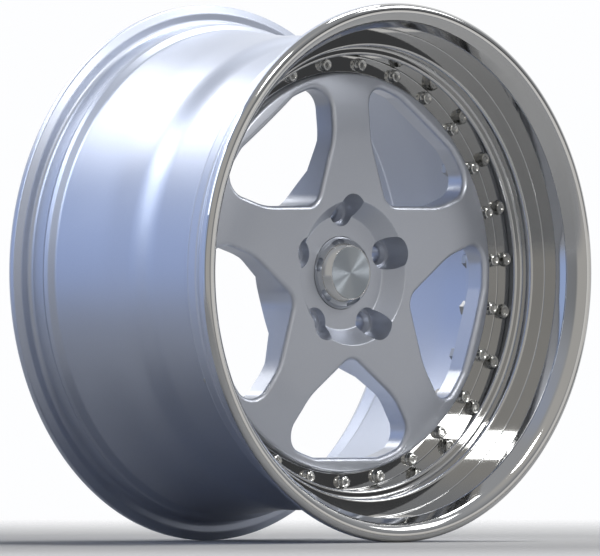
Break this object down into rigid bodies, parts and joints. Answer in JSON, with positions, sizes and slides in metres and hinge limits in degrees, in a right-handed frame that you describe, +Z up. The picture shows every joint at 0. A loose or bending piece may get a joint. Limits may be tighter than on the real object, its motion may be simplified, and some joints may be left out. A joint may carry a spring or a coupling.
{
  "type": "deep dish alloy wheel",
  "caption": "Deep dish multi-piece car wheel: polished stepped lip, painted barrel, spoked centre behind a ring of bolts, and a bare centre cap.",
  "frame": {"origin": "centre of the hub mounting face, where the wheel meets the car's hub", "axes": "+Y along the axle towards the car, +Z up, the open dish faces -Y"},
  "size_m": [0.4966, 0.2666, 0.4966],
  "materials": {
    "polished_lip": "mirror polished",
    "silver_paint": "silver metallic lacquer",
    "sealant": "cured bead, painted over",
    "bolt_steel": "bright plated",
    "nut_steel": "plain plated",
    "cap_chrome": "chromed moulding",
    "cap_disc": "spun brushed",
    "spring_wire": "drawn wire",
    "valve_metal": "nickel plated",
    "valve_rubber": "matt"
  },
  "bodies": {
    "root": {"outer_lip": "polished_lip", "inner_barrel": "silver_paint", "wheel_centre": "silver_paint", "seam_sealant": "sealant", "assembly_bolts": "bolt_steel", "bolt_washers": "nut_steel", "assembly_nuts": "nut_steel", "centre_cap": "cap_chrome", "cap_face_disc": "cap_disc", "cap_spring_ring": "spring_wire", "valve_stem": "valve_metal", "valve_seal": "valve_rubber", "valve_washer": "valve_metal", "valve_nut": "valve_metal", "valve_core": "valve_metal", "valve_cap": "valve_metal"}
  },
  "joints": []
}
